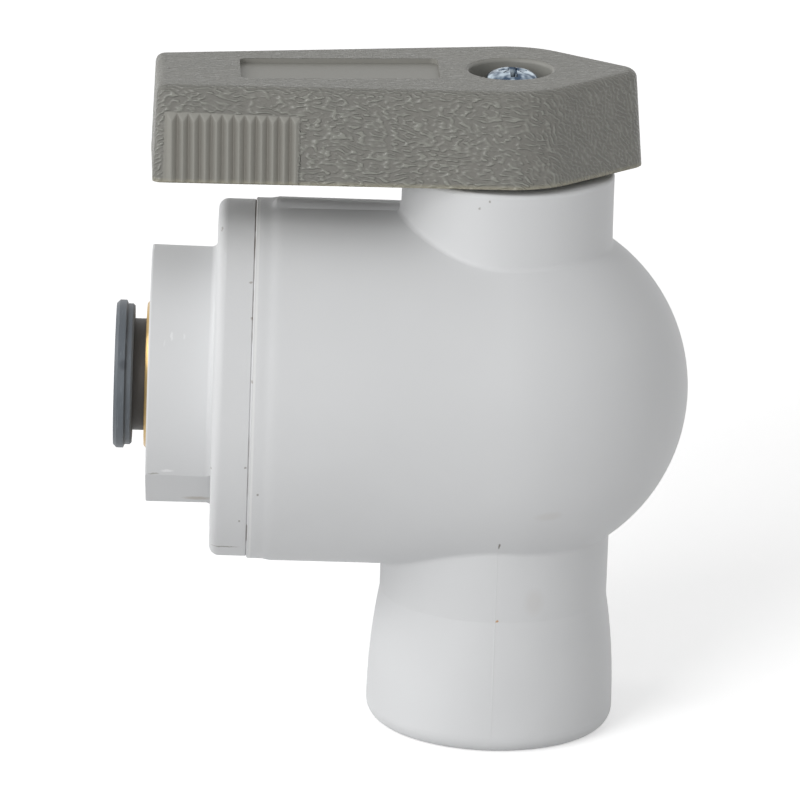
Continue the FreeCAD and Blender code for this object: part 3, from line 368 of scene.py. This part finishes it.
well_zone = box_mask(grey, leaning_axes, *well_corners, softness=0.01)
panel_or_well = node(grey, "ShaderNodeMath", {0: panel_zone, 1: well_zone}, operation="MAXIMUM").outputs[0]
plain_zone = node(grey, "ShaderNodeMath", {0: ridge_zone, 1: panel_or_well}, operation="MAXIMUM")
grained_zone = node(grey, "ShaderNodeMath", {0: 1.0, 1: plain_zone.outputs[0]}, operation="SUBTRACT")
worm = product(grey, worm_line.outputs["Result"], grained_zone.outputs[0])

# The grip ridges are paler than the grained places. The sunk panel is painted paler, a painted sheen, and the
# screw's well is painted paler, painted light in its shade. Brown dirt and painted shade darken the valleys
# between the ridges, the worms' tops are rubbed pale and carry a painted highlight, the lower rim is worn
# pale along its edge, and a dark speck sits at the lever's tip.
grey_cloud_size = 6 * MM
ridge_paleness = 0.9
valley_dirt_and_shade_reach = 1.0 * MM
rub_and_highlight_strength = 0.5
lower_rim = 59.64 * MM
worn_edge_start = 0.5 * MM
worn_edge_full = 0.15 * MM
worn_edge_strength = 0.5
grey_cloud = node(grey, "ShaderNodeTexNoise",
                  {"Vector": grey_place, "Scale": 1 / grey_cloud_size, "Detail": 2.0})
grey_tone = node(grey, "ShaderNodeMix", {0: grey_cloud.outputs["Fac"], 6: colour("#73726d"),
                                         7: colour("#7b7973")}, data_type="RGBA").outputs[2]
# Brown dirt and painted shade: the valleys between the ridges are darkened where the occlusion finds them
# hollow.
grey_hollow = node(grey, "ShaderNodeAmbientOcclusion", {"Distance": valley_dirt_and_shade_reach}, samples=8, only_local=True)
valley_dirt_and_shade = node(grey, "ShaderNodeMapRange", {"Value": grey_hollow.outputs["AO"], "From Min": 0.97,
                                              "From Max": 0.60})
lower_edge = node(grey, "ShaderNodeMapRange",
                  {"Value": grey_rise, "From Min": lower_rim + worn_edge_start,
                   "From Max": lower_rim + worn_edge_full, "To Max": worn_edge_strength})
tip_speck = spot(grey, grey_place, (-35.0, -1.0, 69.0), (0.15, 0.6, 0.3), 0.8)
grey_shade = layered(grey, grey_tone, [
    (product(grey, ridge_zone, ridge_paleness), "#94938c"),
    # The sunk panel and the screw's well are painted paler: a painted sheen on the panel, painted light in
    # the well's shade.
    (panel_or_well, "#8d8c86"),
    (product(grey, valley_dirt_and_shade.outputs["Result"], ridge_zone), "#544e45"),
    # The worms' tops are painted pale: rubbing, and a painted highlight on them.
    (product(grey, worm, rub_and_highlight_strength), "#a0a299"),
    (lower_edge.outputs["Result"], "#a5a08a"),
    (tip_speck, "#4a463f"),
])

# Between the worms the nylon has a satin skin, drawn 0.25 mm coarse so that it shows, and the crests and
# roots of the ridges are a little rounded.
grey_skin_size = 0.25 * MM
grey_skin_height = 0.004 * MM
ridge_round = 0.28 * MM
grey_skin = node(grey, "ShaderNodeTexNoise",
                 {"Vector": grey_place, "Scale": 1 / grey_skin_size, "Detail": 2.0})
grey_satin = node(grey, "ShaderNodeBump", {"Strength": 0.3, "Distance": grey_skin_height,
                                           "Height": grey_skin.outputs["Fac"],
                                           "Normal": softened(grey, ridge_zone, ridge_round)})
grey_relief = node(grey, "ShaderNodeBump", {"Strength": 1.0, "Distance": worm_height, "Height": worm,
                                            "Normal": grey_satin.outputs["Normal"]})
grey_sheen = node(grey, "ShaderNodeMapRange", {"Value": worm, "To Min": 0.50, "To Max": 0.22})
surface(grey, grey_shade, grey_sheen.outputs["Result"], grey_relief.outputs["Normal"], {"IOR": 1.53})
dress(grey, "handle")

# The handle screw: a steel pan-head machine screw, cold headed with a star-marked cross recess and zinc
# plated to a bluish shine. It is drawn ring by ring from its shank's foot, each ring of the head given by
# its inset from the head's radius and its height above the head's underside, in millimetres.
screw_low, screw_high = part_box("handle_screw")
screw_sides = 64
shank_radius = 1.5 * MM
shank_chamfer = 0.3 * MM
head_radius = screw_high.x
head_height = 1.65
head_underside = screw_high.z - head_height * MM
head_rings = [(0.08, 0.0), (0.0, 0.10), (0.0, 0.62), (0.10, 0.86), (0.32, 1.08), (0.70, 1.30), (1.20, 1.49),
              (1.80, 1.61), (2.40, head_height)]
screw_rings = [(shank_radius, screw_low.z + shank_chamfer), (shank_radius, head_underside)]
for inset, rise in head_rings:
    screw_rings.append((head_radius - inset * MM, head_underside + rise * MM))
ring_radius, ring_height = shank_radius - shank_chamfer, screw_low.z
bpy.ops.object.select_all(action="DESELECT")
bpy.ops.mesh.primitive_circle_add(vertices=screw_sides, radius=ring_radius, fill_type="NGON",
                                  location=(0, 0, ring_height))
pan_head_screw = bpy.context.active_object
pan_head_screw.name = "pan_head_screw"
bpy.ops.object.transform_apply(location=True, rotation=True, scale=True)
bpy.ops.object.mode_set(mode="EDIT")
for radius, height in screw_rings:
    bpy.ops.mesh.extrude_region_move(TRANSFORM_OT_translate={"value": (0, 0, height - ring_height)})
    bpy.ops.transform.resize(value=(radius / ring_radius, radius / ring_radius, 1))
    ring_radius, ring_height = radius, height
bpy.ops.mesh.select_all(action="SELECT")
bpy.ops.mesh.normals_make_consistent(inside=False)
bpy.ops.object.mode_set(mode="OBJECT")

# Each punch cuts one arm pair of the recess or one pair of star ticks: its name, half length, half width and
# depth in millimetres, how much of its size is left at its foot, and its turn in degrees.
recess_turn = 4
punch_above = 0.5
facing_down = -0.5
punches = [
    ("recess_arm", 1.70, 0.40, 1.25, 0.62, 0),
    ("recess_cross_arm", 2.20, 0.40, 1.25, 0.80, 90),
    ("star_tick", 1.75, 0.09, 0.28, 0.8, 45),
    ("star_cross_tick", 1.75, 0.09, 0.28, 0.8, 135),
]
for name, half_length, half_width, depth, foot_share, turn in punches:
    bpy.ops.object.select_all(action="DESELECT")
    bpy.ops.mesh.primitive_cube_add(size=1, location=(0, 0, screw_high.z + (punch_above - depth) / 2 * MM))
    punch = bpy.context.active_object
    punch.name = name
    punch.scale = Vector((half_length * 2, half_width * 2, depth + punch_above)) * MM
    punch.rotation_euler.z = math.radians(recess_turn + turn)
    bpy.ops.object.transform_apply(location=True, rotation=True, scale=True)
    bpy.ops.object.mode_set(mode="EDIT")
    bpy.ops.mesh.select_mode(type="FACE")
    bpy.ops.mesh.select_all(action="DESELECT")
    bpy.ops.object.mode_set(mode="OBJECT")
    for face in punch.data.polygons:
        face.select = face.normal.z < facing_down
    bpy.ops.object.mode_set(mode="EDIT")
    bpy.ops.transform.resize(value=(foot_share, foot_share, 1))
    bpy.ops.object.mode_set(mode="OBJECT")
    cut = pan_head_screw.modifiers.new(name, "BOOLEAN")
    cut.operation = "DIFFERENCE"
    cut.solver = "EXACT"
    cut.object = punch
    bpy.context.view_layer.objects.active = pan_head_screw
    bpy.ops.object.modifier_apply(modifier=name)
    bpy.data.objects.remove(punch)

# The head's edges are broken a little, as heading leaves them.
bpy.ops.object.select_all(action="DESELECT")
pan_head_screw.select_set(True)
bpy.context.view_layer.objects.active = pan_head_screw
edge_break = pan_head_screw.modifiers.new("edge_break", "BEVEL")
edge_break.width = 0.05 * MM
edge_break.segments = 2
edge_break.limit_method = "ANGLE"
edge_break.angle_limit = math.radians(40)
bpy.ops.object.modifier_apply(modifier="edge_break")
bpy.ops.object.shade_smooth_by_angle(angle=math.radians(35))

# The plating's blue tone lies in blots a millimetre apart, dark blue-grey to near white, the dark blots a
# painted reflection of the well's grey walls, and painted shade blackens the recess.
zinc_blot_size = 0.9 * MM
zinc_blot_height = 0.02 * MM
recess_shade_reach = 0.8 * MM
zinc = new_material("bright_zinc_plated_steel")
zinc_place = node(zinc, "ShaderNodeTexCoord").outputs["Object"]
zinc_blot = node(zinc, "ShaderNodeTexNoise",
                 {"Vector": zinc_place, "Scale": 1 / zinc_blot_size, "Detail": 1.0}).outputs["Fac"]
# Painted reflection: the dark blots stand for the well's walls mirrored in the head, over the plating's blue
# tint.
reflection_blot_share = node(zinc, "ShaderNodeMapRange", {"Value": zinc_blot, "From Min": 0.40, "From Max": 0.64})
plating_and_painted_reflection = node(zinc, "ShaderNodeMix", {0: reflection_blot_share.outputs["Result"], 6: colour("#46566a"),
                                         7: colour("#c4d2dd")}, data_type="RGBA").outputs[2]
# Painted shade: the recess is blackened where the occlusion finds it hollow.
zinc_hollow = node(zinc, "ShaderNodeAmbientOcclusion", {"Distance": recess_shade_reach}, samples=8)
recess_painted_shade = node(zinc, "ShaderNodeMapRange", {"Value": zinc_hollow.outputs["AO"], "From Min": 0.75,
                                                "From Max": 0.35, "To Max": 0.95})
zinc_shade = layered(zinc, plating_and_painted_reflection, [(recess_painted_shade.outputs["Result"], "#15171a")])
zinc_sheen = node(zinc, "ShaderNodeMapRange", {"Value": zinc_blot, "To Min": 0.14, "To Max": 0.30})
zinc_relief = node(zinc, "ShaderNodeBump", {"Strength": 0.5, "Distance": zinc_blot_height,
                                            "Height": zinc_blot})
surface(zinc, zinc_shade, zinc_sheen.outputs["Result"], zinc_relief.outputs["Normal"], {"Metallic": 1.0})
pan_head_screw.data.materials.append(zinc)
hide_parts("handle_screw")
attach(pan_head_screw, "lever")
dress(zinc, "handle_screw")

# The release button: slate-blue acetal, moulded, a collar on a sleeve that frees the tube when pressed. Its
# satin skin carries scratches that run round it, drawn 0.12 mm wide so that they show, brown painted shade
# fills the neck behind the collar, and a dark scuff sits on the collar's rim.
slate_cloud_size = 3 * MM
scratch_width = 0.12 * MM
scratch_stretch = (1.0, 0.08, 0.08)
scratch_depth = 0.015 * MM
neck_shade_reach = 1.5 * MM
slate = new_material("slate_acetal_moulded")
slate_place = node(slate, "ShaderNodeTexCoord").outputs["Object"]
slate_cloud = node(slate, "ShaderNodeTexNoise",
                   {"Vector": slate_place, "Scale": 1 / slate_cloud_size, "Detail": 3.0}).outputs["Fac"]
slate_tone = node(slate, "ShaderNodeMix", {0: slate_cloud, 6: colour("#565c62"), 7: colour("#646a70")},
                  data_type="RGBA").outputs[2]
scratch_place = node(slate, "ShaderNodeMapping", {"Vector": slate_place, "Scale": scratch_stretch})
scratches = node(slate, "ShaderNodeTexNoise", {"Vector": scratch_place.outputs[0],
                                               "Scale": 1 / scratch_width, "Detail": 2.0}).outputs["Fac"]
scratched = node(slate, "ShaderNodeMapRange", {"Value": scratches, "From Min": 0.60, "From Max": 0.72,
                                               "To Max": 0.35})
# Painted shade: the neck behind the collar is browned where the occlusion finds it hollow.
slate_hollow = node(slate, "ShaderNodeAmbientOcclusion", {"Distance": neck_shade_reach}, samples=8)
neck_painted_shade = node(slate, "ShaderNodeMapRange", {"Value": slate_hollow.outputs["AO"], "From Min": 0.90,
                                                  "From Max": 0.55, "To Max": 0.9})
collar_scuff = spot(slate, slate_place, (-38.8, -7.1, 39.0), (0.45, 0.8, 0.6), 0.7)
slate_shade = layered(slate, slate_tone, [
    (scratched.outputs["Result"], "#8a9096"),
    (neck_painted_shade.outputs["Result"], "#3a3530"),
    (collar_scuff, "#3b3f44"),
])
slate_relief = node(slate, "ShaderNodeBump", {"Strength": 0.4, "Distance": scratch_depth,
                                              "Height": scratches})
slate_sheen = node(slate, "ShaderNodeMapRange", {"Value": slate_cloud, "To Min": 0.38, "To Max": 0.55})
surface(slate, slate_shade, slate_sheen.outputs["Result"], slate_relief.outputs["Normal"], {"IOR": 1.48})
dress(slate, "release_button")

# The cartridge ring: brass bar, turned, pressed into the port. Tool marks run round it, drawn 0.75 mm apart,
# coarser than real ones so that they show, and the air has dulled it in patches. The wave texture has
# 20 / tau turns to the unit.
tool_mark_spacing = 0.754 * MM
wave_turns_per_unit = 20 / math.tau
tool_mark_depth = 0.006 * MM
brass_patch_size = 1.6 * MM
brass = new_material("turned_brass")
brass_place = node(brass, "ShaderNodeTexCoord").outputs["Object"]
tool_marks = node(brass, "ShaderNodeTexWave",
                  {"Vector": brass_place, "Scale": 1 / (tool_mark_spacing * wave_turns_per_unit),
                   "Distortion": 0.3, "Detail": 1.0}, bands_direction="X")
brass_patch = node(brass, "ShaderNodeTexNoise",
                   {"Vector": brass_place, "Scale": 1 / brass_patch_size, "Detail": 3.0}).outputs["Fac"]
brass_shade = node(brass, "ShaderNodeMix", {0: brass_patch, 6: colour("#b5925c"), 7: colour("#e2c78f")},
                   data_type="RGBA").outputs[2]
brass_sheen = node(brass, "ShaderNodeMapRange", {"Value": brass_patch, "To Min": 0.22, "To Max": 0.40})
brass_relief = node(brass, "ShaderNodeBump", {"Strength": 0.5, "Distance": tool_mark_depth,
                                              "Height": tool_marks.outputs["Fac"]})
surface(brass, brass_shade, brass_sheen.outputs["Result"], brass_relief.outputs["Normal"], {"Metallic": 1.0})
dress(brass, "cartridge_ring")

# The ball, its seats, the stem, the thrust washer and the backup ring: natural and white plastics, moulded
# or turned, each a little cloudy where the wall is thick. The ball is polished and the others are satin,
# with a skin drawn 0.4 mm coarse so that it shows.
plastic_skin_size = 0.4 * MM
plastic_skin_height = 0.01 * MM
roughness_spread = 0.15


def clouded_plastic(name, dark, light, roughness, cloud_size, ior):
    """A plastic with a slow change of tone and a fine skin."""
    material = new_material(name)
    place = node(material, "ShaderNodeTexCoord").outputs["Object"]
    cloud = node(material, "ShaderNodeTexNoise", {"Vector": place, "Scale": 1 / cloud_size, "Detail": 2.0})
    shade = node(material, "ShaderNodeMix", {0: cloud.outputs["Fac"], 6: colour(dark), 7: colour(light)},
                 data_type="RGBA").outputs[2]
    skin = node(material, "ShaderNodeTexNoise",
                {"Vector": place, "Scale": 1 / plastic_skin_size, "Detail": 2.0}).outputs["Fac"]
    sheen = node(material, "ShaderNodeMapRange", {"Value": skin, "To Min": roughness * (1 - roughness_spread),
                                                  "To Max": roughness * (1 + roughness_spread)})
    relief = node(material, "ShaderNodeBump", {"Strength": 0.3, "Distance": plastic_skin_height,
                                               "Height": skin})
    surface(material, shade, sheen.outputs["Result"], relief.outputs["Normal"], {"IOR": ior})
    return material


dress(clouded_plastic("white_acetal_polished", "#d8d7d1", "#e4e3de", 0.22, 8 * MM, 1.48), "ball")
dress(clouded_plastic("white_ptfe_turned", "#e2e0da", "#efede8", 0.48, 4 * MM, 1.38),
      "inlet_seat", "back_seat", "thrust_washer", "backup_ring")
dress(clouded_plastic("natural_nylon_moulded", "#d3d0c2", "#e2dfd3", 0.42, 5 * MM, 1.53), "stem")

# The O-rings: black nitrile rubber, compression moulded and lightly dusted with talc. They are dull, with a
# pale bloom in places half a millimetre across.
bloom_size = 0.5 * MM
bloom_height = 0.01 * MM
rubber = new_material("black_nitrile_rubber")
rubber_place = node(rubber, "ShaderNodeTexCoord").outputs["Object"]
bloom = node(rubber, "ShaderNodeTexNoise",
             {"Vector": rubber_place, "Scale": 1 / bloom_size, "Detail": 4.0}).outputs["Fac"]
rubber_shade = node(rubber, "ShaderNodeMix", {0: bloom, 6: colour("#191919"), 7: colour("#323232")},
                    data_type="RGBA").outputs[2]
rubber_sheen = node(rubber, "ShaderNodeMapRange", {"Value": bloom, "To Min": 0.5, "To Max": 0.75})
rubber_relief = node(rubber, "ShaderNodeBump", {"Strength": 0.4, "Distance": bloom_height, "Height": bloom})
surface(rubber, rubber_shade, rubber_sheen.outputs["Result"], rubber_relief.outputs["Normal"], {"IOR": 1.52})
dress(rubber, "inlet_seat_o_ring", "back_seat_o_ring", "cap_o_ring", "stem_o_ring_lower", "stem_o_ring_upper",
      "tube_o_ring")

# The grip ring: thin stainless strip, stamped into teeth that hold the tube. The rolls left fine lines in
# the strip, all one way, drawn 0.08 mm apart, which is coarser than real ones.
roll_mark_spacing = 0.08 * MM
roll_mark_stretch = (1.0, 1.0, 0.05)
roll_mark_depth = 0.004 * MM
strip = new_material("stamped_stainless_strip")
strip_place = node(strip, "ShaderNodeTexCoord").outputs["Object"]
strip_along = node(strip, "ShaderNodeMapping", {"Vector": strip_place, "Scale": roll_mark_stretch})
roll_marks = node(strip, "ShaderNodeTexNoise", {"Vector": strip_along.outputs[0],
                                                "Scale": 1 / roll_mark_spacing, "Detail": 2.0}).outputs["Fac"]
strip_shade = node(strip, "ShaderNodeMix", {0: roll_marks, 6: colour("#a9abae"), 7: colour("#d4d6d8")},
                   data_type="RGBA").outputs[2]
strip_sheen = node(strip, "ShaderNodeMapRange", {"Value": roll_marks, "To Min": 0.25, "To Max": 0.4})
strip_relief = node(strip, "ShaderNodeBump", {"Strength": 0.3, "Distance": roll_mark_depth,
                                              "Height": roll_marks})
surface(strip, strip_shade, strip_sheen.outputs["Result"], strip_relief.outputs["Normal"], {"Metallic": 1.0})
dress(strip, "grip_ring")
